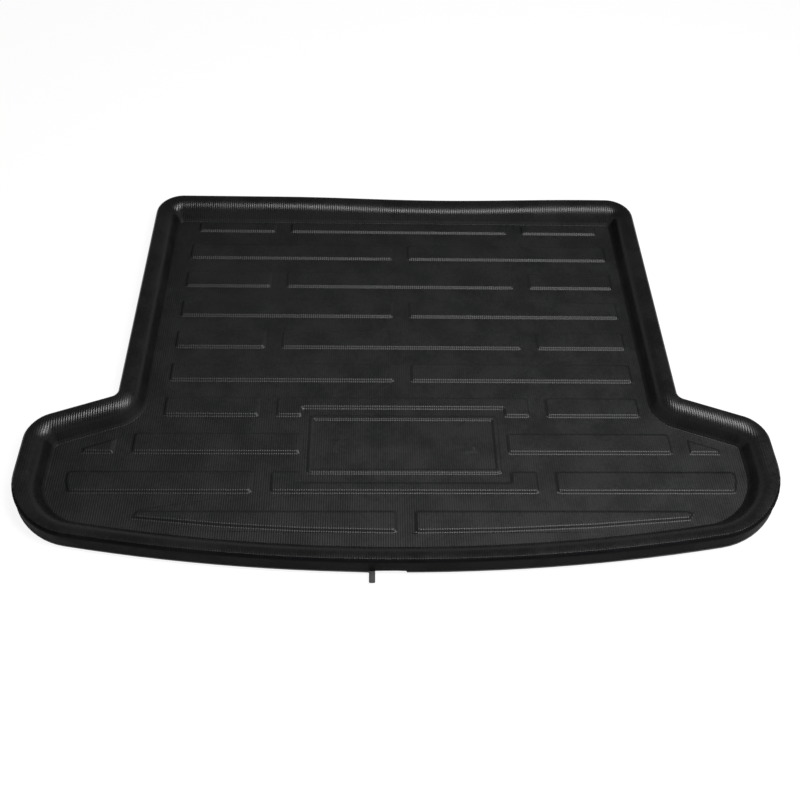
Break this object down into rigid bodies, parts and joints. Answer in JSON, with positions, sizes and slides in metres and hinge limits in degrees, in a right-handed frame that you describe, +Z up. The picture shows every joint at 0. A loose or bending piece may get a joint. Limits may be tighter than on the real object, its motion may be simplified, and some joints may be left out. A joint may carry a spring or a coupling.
{
  "type": "car boot liner",
  "caption": "T-shaped car boot tray formed from one black foam sheet, with a rolled raised rim, a brick pattern of low pads and a framed blank panel.",
  "frame": {"origin": "on the flat underside of the floor, midway across the liner and midway between its back and front edges", "axes": "+X to the right side of the car boot, +Y towards the seats, +Z up out of the tray"},
  "size_m": [1.3, 0.9005, 0.04],
  "materials": {
    "foam_sheet": "satin black foam sheet with fine lengthwise ribs"
  },
  "bodies": {
    "root": {"boot_liner": "foam_sheet"}
  },
  "joints": []
}
